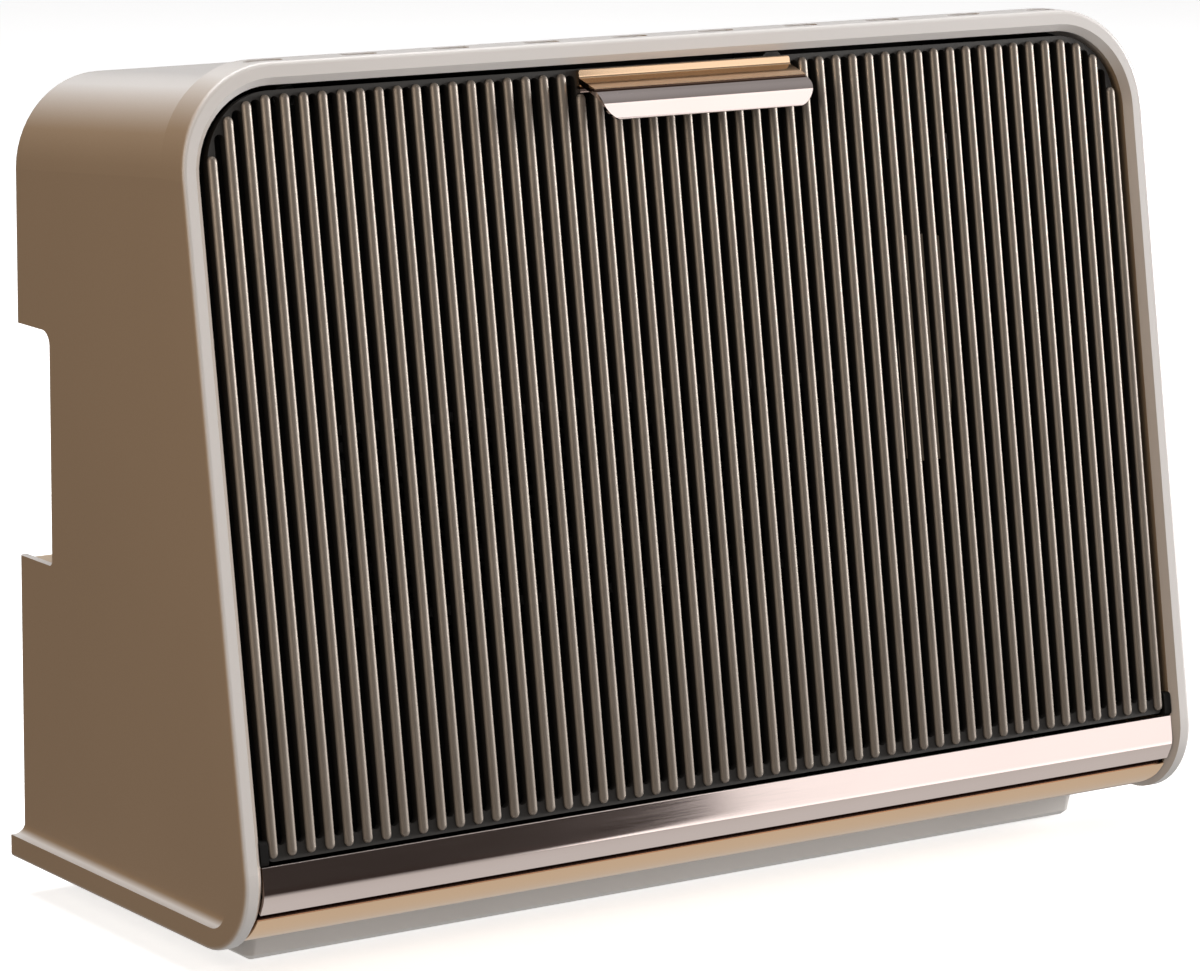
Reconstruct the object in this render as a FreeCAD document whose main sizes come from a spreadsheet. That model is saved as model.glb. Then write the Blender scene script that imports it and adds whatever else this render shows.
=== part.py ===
import FreeCAD, Part
import os
from math import cos, pi, radians, sin, sqrt, tan
from FreeCAD import Placement, Rotation, Vector

# Ceramic fan heater, free-standing. Millimetres, +Z up, the front faces -Y.
# Every piece is drawn in body coordinates: x from the middle, y back from the sharp corner that the
# leaning front and the underside would make, z up from the casing's underside. Leaning pieces are drawn
# with y as the depth behind the front plane and z as the height along it. place() moves each finished
# piece into the shared frame, whose origin is the middle of the footprint at the floor.

DRIVERS = {
    "width": 400,
    "depth": 160,
    "front_height": 286.7,
    "lean": 9.4,
    "rear_drop": 14.5,
    "corner_radius": 36,
    "chin_radius": 26,
    "rim_depth": 14,
    "rim_proud": 4.5,
    "rim_width": 7.5,
    "rim_bevel": 2.5,
    "wall": 3,
    "ledge_height": 8,
    "plinth_height": 11.5,
    "pad_height": 1,
    "plinth_inset": 22,
    "plinth_setback": 42,
    "vent_count": 10,
    "vent_pitch": 36.05,
    "plinth_corner": 4.5,
    "rib_count": 53,
    "rib_pitch": 7.2,
    "slot_width": 3.9,
    "grille_recess": 3,
    "grille_thickness": 3,
    "trim_top": 32.4,
    "sheet": 1.4,
    "handle_width": 88,
    "grip_width": 19,
    "grip_depth": 24,
    "grip_low": 107,
    "grip_high": 188,
    "cover_recess": 6,
    "wheel_radius": 34,
    "wheel_left": -136,
    "wheel_length": 208,
    "blade_count": 28,
    "shaft_radius": 2.5,
    "running_gap": 0.05,
    "duct_left": -142,
    "duct_right": 78,
    "filter_thickness": 3.5,
}

doc = FreeCAD.newDocument("ceramic_space_heater")
sheet = doc.addObject("Spreadsheet::Sheet", "sizes")
for row, (alias, value) in enumerate(DRIVERS.items(), 1):
    sheet.set("A%d" % row, alias.replace("_", " "))
    sheet.set("B%d" % row, str(value))
    sheet.setAlias("B%d" % row, alias)
doc.recompute()


def size(alias):
    return float(sheet.get(alias))


LEAN = radians(size("lean"))
FRONT_LENGTH = size("front_height") / cos(LEAN)
HALF = size("width") / 2
CHIN = size("chin_radius")
CHIN_BACK = CHIN / tan((pi / 2 - LEAN) / 2)
BODY_DEPTH = size("depth") + CHIN_BACK - CHIN
FRONT_Y = -size("depth") / 2 - (CHIN_BACK - CHIN)
BASE = size("plinth_height") + size("pad_height")
OPENING = HALF - size("rim_width")
GRIP_FRONT = BODY_DEPTH - size("grip_depth")
COVER_BACK = BODY_DEPTH - size("cover_recess")
COVER_FRONT = COVER_BACK - size("wall")
AXIS_Y = 106
AXIS_Z = 140
CONTROLS_X = 136
LINER_GAP = 0.3
LINER_SHEET = 0.8
LINER_FLOOR = size("wall") + LINER_GAP + LINER_SHEET
TRIM_REAR = 37.6
BEYOND = 6
FAR = 200

parts = []


def bind(thing, name, value):
    if isinstance(value, str):
        thing.setExpression(name, value)
    else:
        setattr(thing, name, value)


def place(piece, label, leaning=False, at=(0, 0, 0), tilt=0):
    """Name a finished piece and move it, drawn about a body point, into the shared frame."""
    turn = Rotation(Vector(1, 0, 0), -size("lean") if leaning else tilt)
    piece.Label = label
    move = Placement(Vector(at[0], at[1] + FRONT_Y, at[2] + BASE), turn)
    piece.Placement = move.multiply(piece.Placement)
    parts.append(piece)
    return piece


def front(height, inward):
    """Body (y, z) of a point at a height along the leaning front and a depth behind it."""
    return (height * sin(LEAN) + inward * cos(LEAN), height * cos(LEAN) - inward * sin(LEAN))


# ---------------------------------------------------------------- drawing

def rectangle(left, low, right, high, radius=0):
    return [(left, low, radius), (right, low, radius), (right, high, radius), (left, high, radius)]


def circle(across, up, radius):
    return Part.Circle(Vector(across, up, 0), Vector(0, 0, 1), radius)


def draw(sketch, outline):
    """Add a circle, or a closed outline whose (across, up, radius) corners are rounded."""
    if not isinstance(outline, list):
        sketch.addGeometry(outline)
        return
    bends = []
    for index, (across, up, radius) in enumerate(outline):
        corner = Vector(across, up, 0)
        back = Vector(*outline[index - 1][:2], 0) - corner
        ahead = Vector(*outline[(index + 1) % len(outline)][:2], 0) - corner
        back.normalize()
        ahead.normalize()
        half = back.getAngle(ahead) / 2
        reach = radius / tan(half)
        inward = (back + ahead).normalize() if radius else Vector()
        middle = corner + inward * (radius / sin(half) - radius)
        bends.append((corner + back * reach, middle, corner + ahead * reach, radius))
    for index, (start, middle, end, radius) in enumerate(bends):
        following = bends[(index + 1) % len(bends)][0]
        if radius:
            sketch.addGeometry(Part.Arc(start, middle, end))
        if end.distanceToPoint(following) > 1e-4:
            sketch.addGeometry(Part.LineSegment(end, following))


def new_body(name):
    return doc.addObject("PartDesign::Body", name)


def new_sketch(body, plane, start, outlines):
    sketch = body.newObject("Sketcher::SketchObject", "outline")
    support = [item for item in body.Origin.OriginFeatures if item.Role == plane]
    sketch.AttachmentSupport = [(support[0], "")]
    sketch.MapMode = "FlatFace"
    away = "-(%s)" % start if plane == "XZ_Plane" else str(start)
    sketch.setExpression("AttachmentOffset.Base.z", away)
    for outline in outlines:
        draw(sketch, outline)
    return sketch


def add_pad(body, plane, start, thickness, *outlines):
    """Pad outlines on a plane at start, towards +X, +Y or +Z; outlines inside the first are holes."""
    sketch = new_sketch(body, plane, start, outlines)
    pad = body.newObject("PartDesign::Pad", "pad")
    pad.Profile = sketch
    bind(pad, "Length", thickness)
    pad.Reversed = plane == "XZ_Plane"
    return pad


def plate(name, plane, start, thickness, *outlines):
    body = new_body(name)
    add_pad(body, plane, start, thickness, *outlines)
    return body


def box(name, low, high):
    item = doc.addObject("Part::Box", name)
    item.Length, item.Width, item.Height = [b - a for a, b in zip(low, high)]
    item.Placement.Base = Vector(*low)
    return item


def rod(name, start, direction, length, radius):
    item = doc.addObject("Part::Cylinder", name)
    bind(item, "Radius", radius)
    bind(item, "Height", length)
    item.Placement = Placement(Vector(*start), Rotation(Vector(0, 0, 1), Vector(*direction)))
    return item


def fuse(name, pieces):
    item = doc.addObject("Part::MultiFuse", name)
    item.Shapes = pieces
    return item


def group(name, pieces):
    item = doc.addObject("Part::Compound", name)
    item.Links = pieces
    return item


def cut(name, base, tools):
    item = doc.addObject("Part::Cut", name)
    item.Base = base
    item.Tool = tools[0] if len(tools) == 1 else fuse(name + "_tools", tools)
    return item


def edges_where(shape, test):
    return [index for index, edge in enumerate(shape.Edges, 1) if test(edge)]


def block(name, half_width, outline, top_radius):
    """Side outline padded evenly about the middle, with its two long upper edges rounded."""
    body = plate(name, "YZ_Plane", -half_width, 2 * half_width, outline)
    doc.recompute()

    def upper_side(edge):
        ends = [vertex.Point for vertex in edge.Vertexes]
        at_side = all(abs(abs(point.x) - half_width) < 0.01 for point in ends)
        high = min(point.z for point in ends) > size("front_height") - 3 * size("rear_drop")
        return at_side and high and len(ends) == 2 and abs(ends[0].y - ends[1].y) > 20

    rounded = body.newObject("PartDesign::Fillet", "upper_corners")
    pad = body.Group[-2]
    rounded.Base = (pad, ["Edge%d" % index for index in edges_where(pad.Shape, upper_side)])
    rounded.Radius = top_radius
    body.Tip = rounded
    return body


# ---------------------------------------------------------------- casing

def top_line(drop):
    """Front and rear ends of a line that runs a given depth below the casing's recessed top."""
    high = size("front_height") - size("rim_proud") - drop
    low = size("front_height") - size("rear_drop") - drop
    slope = (high - low) / (BODY_DEPTH - FRONT_LENGTH * sin(LEAN))
    return high, low, slope


def chin_outline(inset, top_front, top_rear, rear):
    """Side outline that follows the front, the chin and the underside, all moved in by an inset."""
    toe = inset * (1 / cos(LEAN) + tan(LEAN))
    head = top_front * tan(LEAN) + inset / cos(LEAN)
    return [(toe, inset, CHIN - inset), (rear, inset, 0), (rear, top_rear, 0), (head, top_front, 0)]


def grip_outline(grow, rear):
    """Side view of a hand grip: rounded more above than below, open to the rear."""
    low = size("grip_low") - grow
    high = size("grip_high") + grow
    near = GRIP_FRONT - grow
    return [(near, low, 2 + grow), (rear, low, 0), (rear, high, 0), (near, high, 5 + grow)]


def vent_outlines():
    """Row of short slots in the top of the front rim."""
    middle = FRONT_LENGTH * sin(LEAN) + size("rim_depth") / 2 + 0.5
    first = -size("vent_pitch") * (size("vent_count") - 1) / 2
    centres = [first + index * size("vent_pitch") for index in range(int(size("vent_count")))]
    return [rectangle(x - 7, middle - 2.5, x + 7, middle + 2.5, 2.49) for x in centres]


def bosses():
    """Screw posts of the rear cover as (x, z) and the wall point that each post's web runs to."""
    side = OPENING - 5
    sides = [(sign * side, z, sign * (OPENING + 0.5), z) for sign in (-1, 1) for z in (22, 226)]
    return sides + [(x, z, x, wall_z) for x in (-104, 104) for z, wall_z in ((9, 2), (262, 272))]


def boss_web(post, start, end, grow):
    x, z, wall_x, wall_z = post
    spread_x = 0 if wall_x != x else 2 + grow
    spread_z = 2 + grow if wall_x != x else 0
    low = (min(x, wall_x) - spread_x, start, min(z, wall_z) - spread_z)
    high = (max(x, wall_x) + spread_x, end, max(z, wall_z) + spread_z)
    return box("web", low, high)


def bored_boss(post):
    x, z = post[:2]
    start = GRIP_FRONT - 2
    solid = fuse("boss", [rod("post", (x, start, z), (0, 1, 0), COVER_FRONT - start, 5),
                          boss_web(post, start, COVER_FRONT, 0)])
    return cut("bored_boss", solid, [rod("pilot", (x, start + 2, z), (0, 1, 0), COVER_FRONT - start, 1.5)])


def plinth_screws():
    return [(x, y) for x in (-130, 130) for y in (62, 138)]


def pad_places():
    return [(x, y) for x in (-160, 160) for y in (60, 140)]


def samples(edge):
    """Both ends and the middle of an edge."""
    start, end = edge.ParameterRange
    return [edge.valueAt(start + (end - start) * share) for share in (0, 0.5, 1)]


def on_front(edge):
    """True for an edge that lies in the leaning front or on the chin's curve."""

    def touches(point):
        in_plane = abs(point.y * cos(LEAN) - point.z * sin(LEAN)) < 0.02
        around = sqrt((point.y - CHIN_BACK) ** 2 + (point.z - CHIN) ** 2)
        return in_plane or (abs(around - CHIN) < 0.02 and point.y <= CHIN_BACK and point.z < CHIN + 5)

    return all(touches(point) for point in samples(edge))


def at_outline(edge):
    """True for a front edge of the casing's outer outline."""
    upper = size("front_height") - 0.05
    return on_front(edge) and all(abs(abs(point.x) - HALF) < 0.02 or point.z > upper
                                  or abs(point.x) > HALF - 30 for point in samples(edge)) and edge.Length > 20


def soften_casing(outside):
    """Round the rim's front edge, the rear edge and the foot of the side walls."""
    doc.recompute()
    wall_x = HALF - size("rim_proud")

    def ledge_foot(edge):
        points = samples(edge)
        at_wall = all(abs(abs(point.x) - wall_x) < 0.01 for point in points)
        low = all(size("ledge_height") - 0.01 < point.z < 40 for point in points)
        return at_wall and low and edge.Length > 12

    def rear_edge(edge):
        points = samples(edge)
        return all(abs(point.y - BODY_DEPTH) < 0.01 and point.z > 20 for point in points)

    shape = outside.Shape
    chosen = [(index, 3.6) for index in edges_where(shape, ledge_foot)]
    chosen += [(index, 1.6) for index in edges_where(shape, at_outline)]
    chosen += [(index, 2.2) for index in edges_where(shape, rear_edge)]
    softened = doc.addObject("Part::Fillet", "casing_softened")
    softened.Base = outside
    softened.Edges = [(index, radius, radius) for index, radius in chosen]
    return softened


def casing_outside():
    """Proud front rim, cut back behind its depth, joined to the recessed shell."""
    behind = size("rim_depth") / cos(LEAN)
    ledge = size("ledge_height")
    above = size("front_height") + BEYOND
    far = BODY_DEPTH + BEYOND
    rim_rear = size("front_height") - 4
    rim = block("rim_block", HALF, chin_outline(0, size("front_height"), rim_rear, BODY_DEPTH),
                size("corner_radius"))
    side = [(ledge * tan(LEAN) + behind, ledge, 10), (far, ledge, 0), (far, above, 0),
            (above * tan(LEAN) + behind, above, 0)]
    recess = plate("recess", "YZ_Plane", -HALF - BEYOND, 2 * (HALF + BEYOND), side)
    proud = size("rim_proud")
    front_top, rear_top = top_line(0)[:2]
    shell = block("shell_block", HALF - proud, chin_outline(1, front_top, rear_top, BODY_DEPTH),
                  size("corner_radius") - proud)
    return soften_casing(fuse("casing_outside", [cut("rim_cut", rim, [recess]), shell]))


def casing_cavity():
    """Inside of the casing, open at the front and the rear."""
    high, low, slope = top_line(size("wall"))
    near, far, floor = -10, BODY_DEPTH + BEYOND, size("wall")
    near_high = high + slope * (FRONT_LENGTH * sin(LEAN) - near)
    side = [(near, floor, 0), (far, floor, 0), (far, low - slope * BEYOND, 0), (near, near_high, 0)]
    return block("cavity", OPENING, side, size("corner_radius") - size("rim_width"))


def bevel_mouth(hollow):
    """Bevel the edge where the rim turns into the opening."""
    doc.recompute()

    def in_mouth(edge):
        inner = abs(edge.CenterOfMass.x) < OPENING + 0.1 and edge.Length > 20
        return inner and on_front(edge) and not at_outline(edge)

    bevelled = doc.addObject("Part::Chamfer", "rim_bevel")
    bevelled.Base = hollow
    bevel = size("rim_bevel")
    bevelled.Edges = [(index, bevel, bevel) for index in edges_where(hollow.Shape, in_mouth)]
    return bevelled


def casing():
    grips = plate("grips", "YZ_Plane", -HALF - BEYOND, 2 * (HALF + BEYOND),
                  grip_outline(0, BODY_DEPTH + BEYOND))
    chin_gap = box("chin_gap", (-OPENING, -5, -5), (OPENING, TRIM_REAR + 0.4, 20))
    vents = plate("vents", "XY_Plane", size("front_height") - 12, 20, *vent_outlines())
    hollow = cut("casing_hollow", casing_outside(), [casing_cavity(), chin_gap, vents, grips])
    whole = fuse("casing_with_bosses", [bevel_mouth(hollow)] + [bored_boss(post) for post in bosses()])
    holes = [rod("plinth_hole", (x, y, -1), (0, 0, 1), size("wall") + 2, 1.5) for x, y in plinth_screws()]
    place(cut("casing_bored", whole, holes), "outer_casing")


def inner_liner():
    """Thin black sheet-steel wrap that keeps heat off the plastic walls."""
    rear = COVER_FRONT - 0.5
    low = size("wall") + LINER_GAP
    high, rear_high, slope = top_line(low)
    crown = FRONT_LENGTH * sin(LEAN)
    head = front(FRONT_LENGTH, 15)[0]
    head_high = high - slope * (head - crown)
    rear_high += slope * (BODY_DEPTH - rear)
    foot = TRIM_REAR + 0.4
    outline = [(foot, low, 0), (rear, low, 0), (rear, rear_high, 0), (head, head_high, 0),
               front(48, 15) + (0,), (foot, 30, 0)]
    radius = size("corner_radius") - size("rim_width")
    outer = block("liner_outer", OPENING - LINER_GAP, outline, radius - LINER_GAP)
    high, drop, slope = top_line(LINER_FLOOR)
    near = -20
    inside = [(near, LINER_FLOOR, 0), (FAR, LINER_FLOOR, 0), (FAR, drop - slope * (FAR - BODY_DEPTH), 0),
              (near, high + slope * (crown - near), 0)]
    inner = block("liner_inner", OPENING - LINER_GAP - LINER_SHEET, inside,
                  radius - LINER_GAP - LINER_SHEET)
    windows = plate("grip_windows", "YZ_Plane", -HALF, 2 * HALF, grip_outline(2.4, FAR))
    start = GRIP_FRONT - 3
    holes = [rod("boss_hole", (post[0], start, post[1]), (0, 1, 0), 40, 5.6) for post in bosses()]
    webs = [boss_web(post, start, FAR, 1) for post in bosses()]
    place(cut("liner", outer, [inner, windows] + holes + webs), "inner_liner")


def grip_pocket(side, label):
    """Beige scoop that lines a hand grip in a rear corner."""
    skin = 2
    deep = HALF - size("grip_width")
    span = OPENING - 0.1 - (deep - skin)
    start = deep - skin if side > 0 else -(OPENING - 0.1)
    outer = plate("grip_outer", "YZ_Plane", start, span, grip_outline(skin, COVER_BACK))
    hollow_start = deep if side > 0 else -HALF
    hollow = plate("grip_hollow", "YZ_Plane", hollow_start, size("grip_width"),
                   grip_outline(0, BODY_DEPTH + BEYOND))
    place(cut(label + "_cut", outer, [hollow]), label)


def plinth():
    """Inset tray under the casing, drafted inwards, with a bevelled lower edge and four pad recesses."""
    half = HALF - size("plinth_inset")
    near = size("plinth_setback")
    rear = BODY_DEPTH - 8
    height = size("plinth_height")
    body = new_body("plinth_body")
    sketch = new_sketch(body, "XY_Plane", 0, [rectangle(-half, near, half, rear, size("plinth_corner"))])
    pad = body.newObject("PartDesign::Pad", "drafted")
    pad.Profile = sketch
    bind(pad, "Length", "sizes.plinth_height")
    pad.Reversed = True
    pad.TaperAngle = -9
    doc.recompute()
    bottom = edges_where(pad.Shape, lambda edge: all(v.Point.z < 0.01 - height for v in edge.Vertexes))
    bevel = body.newObject("PartDesign::Chamfer", "bevel")
    bevel.Base = (pad, ["Edge%d" % index for index in bottom])
    bevel.Size = 1.8
    body.Tip = bevel
    hollow = plate("plinth_hollow", "XY_Plane", 4 - height, 20,
                   rectangle(-half + 6, near + 6, half - 6, rear - 6, 1))
    pads = [rod("pad_recess", (x, y, -height - 1), (0, 0, 1), 3, 9.1) for x, y in pad_places()]
    posts = [rod("post", (x, y, 3 - height), (0, 0, 1), height - 3, 5) for x, y in plinth_screws()]
    tray = fuse("tray", [cut("tray_cut", body, [hollow] + pads)] + posts)
    holes = [rod("screw_hole", (x, y, -20), (0, 0, 1), 30, 1.7) for x, y in plinth_screws()]
    heads = [rod("head_hole", (x, y, -height - 1), (0, 0, 1), 4, 3.8) for x, y in plinth_screws()]
    place(cut("tray_bored", tray, holes + heads), "plinth")


# ---------------------------------------------------------------- front

GRILLE_HALF = (size("rib_count") - 1) * size("rib_pitch") / 2 + 1.8
GRILLE_TOP = FRONT_LENGTH - size("rim_width") - 1.5
GRILLE_LOW = size("trim_top") + 1.2
GRILLE_CORNER = 25
PIVOT_HEIGHT = 36
PIVOT_DEPTH = size("grille_recess") + size("grille_thickness") / 2
PIN_RADIUS = 1.4


def slot_top(x):
    """Height where a slot ends, 2 mm inside the panel's rounded outline."""
    past = abs(x) - (GRILLE_HALF - GRILLE_CORNER)
    if past <= 0:
        return GRILLE_TOP - 2
    return GRILLE_TOP - GRILLE_CORNER + sqrt((GRILLE_CORNER - 2) ** 2 - past ** 2)


def front_grille():
    """Reeded panel: bars between long slots with round ends, drawn flat and leaned back."""
    half, corner = GRILLE_HALF, GRILLE_CORNER
    edge = [(-half, GRILLE_LOW, 2), (half, GRILLE_LOW, 2), (half, GRILLE_TOP, corner),
            (-half, GRILLE_TOP, corner)]
    pitch, width = size("rib_pitch"), size("slot_width")
    gaps = int(size("rib_count")) - 1
    centres = [(index - (gaps - 1) / 2) * pitch for index in range(gaps)]
    slots = [rectangle(x - width / 2, GRILLE_LOW + 5, x + width / 2, slot_top(x), width / 2 - 0.01)
             for x in centres]
    panel = plate("grille_panel", "XZ_Plane", "sizes.grille_recess", "sizes.grille_thickness", edge, *slots)
    bores = [rod("pin_bore", (side * (half - 6), PIVOT_DEPTH, PIVOT_HEIGHT), (side, 0, 0), 10, PIN_RADIUS)
             for side in (-1, 1)]
    place(cut("grille_bored", panel, bores), "front_grille", leaning=True)


def hinge():
    """Two steel pins in the panel, and the bracket on each side wall that they turn in."""
    half = GRILLE_HALF
    pins = [rod("pin", (side * (half - 6), PIVOT_DEPTH, PIVOT_HEIGHT), (side, 0, 0), 9, PIN_RADIUS)
            for side in (-1, 1)]
    place(group("pins", pins), "grille_hinge_pins", leaning=True)
    for side, label in ((-1, "hinge_bracket_left"), (1, "hinge_bracket_right")):
        start = half + 0.5 if side > 0 else -OPENING
        bracket = plate("bracket", "YZ_Plane", start, OPENING - half - 0.5,
                        rectangle(1.6, PIVOT_HEIGHT - 3.4, 13, PIVOT_HEIGHT + 5, 1.5),
                        circle(PIVOT_DEPTH, PIVOT_HEIGHT, PIN_RADIUS + size("running_gap")))
        place(bracket, label, leaning=True)


def grille_handle():
    """Pull lip: flange on the panel, a slope outwards, a groove, then a convex lip with round corners."""
    top = GRILLE_TOP
    recess = size("grille_recess")
    outside = [(recess, top - 0.3, 0), (1.4, top - 0.3, 0.5), (1.4, top - 3.2, 1.2), (-7.2, top - 7.2, 0.3),
               (-7.0, top - 8, 0), (-8.1, top - 8.4, 0.2), (-11.2, top - 10.8, 6), (-12.2, top - 18.2, 0.6)]
    inside = [(-10.7, top - 18.2, 0.6), (-9.8, top - 11.8, 4), (-6.4, top - 9.4, 0), (1.4, top - 5.4, 0),
              (1.4, top - 8, 0), (recess, top - 8, 0)]
    half = size("handle_width") / 2
    lip = plate("lip", "YZ_Plane", "-sizes.handle_width/2", "sizes.handle_width", outside + inside)
    shape = [(-half, top - 18.6, 9), (half, top - 18.6, 9), (half, top, 1.5), (-half, top, 1.5)]
    trimmer = plate("lip_trim", "XZ_Plane", -20, 40, shape)
    lip_common = doc.addObject("Part::Common", "lip_common")
    lip_common.Base = lip
    lip_common.Tool = trimmer
    place(lip_common, "grille_handle", leaning=True)


def lower_trim():
    """Polished strip: flat, then rolled under; a groove; then a band that follows the chin."""
    gauge = size("sheet")
    recess = 1.6
    groove_depth = 2
    groove_wall = 1.4
    turn = radians(34.5)
    centre_y, centre_z = CHIN_BACK, CHIN

    def deeper(point, depth):
        return (point[0] + depth * cos(turn), point[1] + depth * sin(turn))

    def band(radius):
        start = (centre_y - radius * cos(turn), centre_z - radius * sin(turn))
        low = centre_z - radius
        drop = (start[1] - low) / cos(turn)
        return start, (start[0] + drop * sin(turn), low)

    start, corner = band(CHIN - recess)
    inner_start, inner_corner = band(CHIN - recess - gauge)
    upper = (start[0] - sin(turn), start[1] + cos(turn))
    top = size("trim_top")
    face = 2.0
    lip = front(16.5, 5.8)
    outline = [front(top, face) + (0.4,), front(22, face) + (9,), lip + (0,),
               deeper(lip, groove_depth) + (0,), deeper(upper, groove_depth) + (0,), upper + (0,),
               corner + (CHIN - recess,), (TRIM_REAR, corner[1], 0), (TRIM_REAR, inner_corner[1], 0),
               inner_corner + (CHIN - recess - gauge,), inner_start + (0,),
               deeper(inner_start, groove_depth + groove_wall - gauge) + (0,),
               deeper(lip, groove_depth + groove_wall) + (0,),
               front(22.6, face + gauge) + (0,), front(top, face + gauge) + (0,)]
    half = OPENING - 0.3
    place(plate("trim", "YZ_Plane", -half, 2 * half, outline), "lower_trim")


def front_baffle():
    """Black sheet behind the grille, open where the warm air comes out and above the right bay."""
    low, step, high = 34, 112, FRONT_LENGTH - 14
    edge = [(-190.8, low, 2), (190.8, low, 2), (190.8, step, 2), (92, step, 2), (92, high, 3),
            (-190.8, high, 26)]
    mouth = rectangle(size("duct_left") + 1, 94, size("duct_right") - 1, 172, 3)
    place(plate("baffle", "XZ_Plane", 16, 1.2, edge, mouth), "front_baffle", leaning=True)


def guard():
    """Close-barred guard that keeps fingers off the hot element."""
    left, right = size("duct_left") + 0.5, size("duct_right") - 0.5
    columns, rows = 6, 12
    step_x = (right - left - 4) / columns
    step_z = 72 / rows
    slots = [rectangle(left + 3 + column * step_x, 95 + row * step_z, left + 1 + (column + 1) * step_x,
                       99.2 + row * step_z, 1.2) for column in range(columns) for row in range(rows)]
    place(plate("guard", "XZ_Plane", 48, 1.5, rectangle(left, 92.5, right, 167.5, 1), *slots), "inner_guard")


# ---------------------------------------------------------------- heating element

ELEMENT_LEFT = -133
ELEMENT_RIGHT = 69
ELEMENT_LOW = 101
ELEMENT_FRONT = 51.5
ELEMENT_DEPTH = 14
FIN_HEIGHT = 11
TUBE_HEIGHT = 5
TUBE_COUNT = 3
TAB_HALF = 3.2


def tube_lows():
    return [ELEMENT_LOW + FIN_HEIGHT + index * (FIN_HEIGHT + TUBE_HEIGHT) for index in range(TUBE_COUNT)]


def tab_gap(low, grow):
    """Box around one terminal tab where it leaves through the frame and the duct's end."""
    middle = low + TUBE_HEIGHT / 2
    return box("tab_gap", (-160, ELEMENT_FRONT + 7 - TAB_HALF - grow, middle - 0.4 - grow),
               (ELEMENT_LEFT + 1, ELEMENT_FRONT + 7 + TAB_HALF + grow, middle + 0.4 + grow))


def heating_element():
    left, right = ELEMENT_LEFT, ELEMENT_RIGHT
    top = ELEMENT_LOW + (TUBE_COUNT + 1) * FIN_HEIGHT + TUBE_COUNT * TUBE_HEIGHT
    ring = plate("element_ring", "XZ_Plane", 51, 15, rectangle(left - 8.4, 94.8, right + 8.4, 166.6, 1),
                 rectangle(left, ELEMENT_LOW, right, top))
    place(cut("ring_cut", ring, [tab_gap(low, 0.2) for low in tube_lows()]), "heater_frame")
    tubes = []
    stones = []
    tabs = []
    for low in tube_lows():
        near, far = ELEMENT_FRONT, ELEMENT_FRONT + ELEMENT_DEPTH
        tubes.append(plate("tube", "YZ_Plane", left + 3, right - left - 6,
                           rectangle(near, low, far, low + TUBE_HEIGHT, 1),
                           rectangle(near + 1.2, low + 0.8, far - 1.2, low + TUBE_HEIGHT - 0.8)))
        for index in range(8):
            start = left + 5 + index * 24.4
            stones.append(box("stone", (start, near + 1.8, low + 0.9), (start + 23, far - 1.8, low + 4.1)))
        tabs.append(box("tab", (-150, near + 7 - TAB_HALF, low + 2.1),
                        (left + 2.8, near + 7 + TAB_HALF, low + 2.9)))
    place(group("tubes", tubes), "heater_tubes")
    place(group("stones", stones), "ceramic_stones")
    place(group("tabs", tabs), "heater_terminals")
    pitch = FIN_HEIGHT + TUBE_HEIGHT
    bands = [fin_band(ELEMENT_LOW + index * pitch) for index in range(TUBE_COUNT + 1)]
    place(group("bands", bands), "heater_fins")


def fin_band(low):
    """Corrugated aluminium strip that fills one gap between the tubes."""
    step, gauge = 2.5, 0.35
    folds = int((ELEMENT_RIGHT - ELEMENT_LEFT - 1) / step)
    high = low + FIN_HEIGHT - 0.05
    low = low + 0.05
    upper = []
    lower = []
    for index in range(folds + 1):
        x = ELEMENT_LEFT + 0.5 + index * step
        crest = index % 2
        upper.append((x, high if crest else low + 2.6 * gauge, 0))
        lower.append((x, high - 2.6 * gauge if crest else low, 0))
    return plate("fins", "XZ_Plane", ELEMENT_FRONT, ELEMENT_DEPTH, upper + lower[::-1])


# ---------------------------------------------------------------- blower

def scroll_housing():
    """Curved rear wall of the air duct, running under and behind the wheel."""
    gauge = 1.6
    near, low = 48, 90.4
    bend_low, rear, high = 100, 146, 172
    outline = [(near, low - gauge, 0), (rear + gauge, bend_low - gauge, 40.6), (rear + gauge, high, 0),
               (rear, high, 0), (rear, bend_low, 39), (near, low, 0)]
    left, right = size("duct_left"), size("duct_right")
    place(plate("scroll", "YZ_Plane", left, right - left, outline), "scroll_housing")
    tongue = [(48, 168, 0), (80, 168, 3), (85, 188, 0), (83.4, 188, 0), (78.8, 169.6, 1.4), (48, 169.6, 0)]
    place(plate("tongue", "YZ_Plane", left, right - left, tongue), "vortex_tongue")
    ends = [(47.6, 84, 3), (149, 84, 6), (149, 190, 6), (62, 190, 6), (47.6, 174, 6)]
    holes = [rectangle(ELEMENT_FRONT + 3, low + 1.6, ELEMENT_FRONT + 11, low + 3.4) for low in tube_lows()]
    shaft_hole = circle(AXIS_Y, AXIS_Z, 9)
    screws = [circle(y, z, 1.6) for y, z in motor_posts()]
    place(plate("end", "YZ_Plane", left - 1.6, 1.6, ends, shaft_hole, *holes, *screws), "duct_end_left")
    place(plate("end", "YZ_Plane", right, 1.6, ends, circle(AXIS_Y, AXIS_Z, 8.1)), "duct_end_right")
    starts = (left - 1.6, right - 10.4)
    feet = [box("foot", (x, 70, LINER_FLOOR), (x + 12, 130, 84)) for x in starts]
    gaps = [box("foot_gap", (x - 5, 76, LINER_FLOOR + 3), (x + 20, 124, 78)) for x in starts]
    insides = [box("foot_gap", (left, 60, LINER_FLOOR + 3), (right, 140, 100))]
    place(cut("feet", fuse("foot_pair", feet), gaps + insides), "duct_feet")


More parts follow.
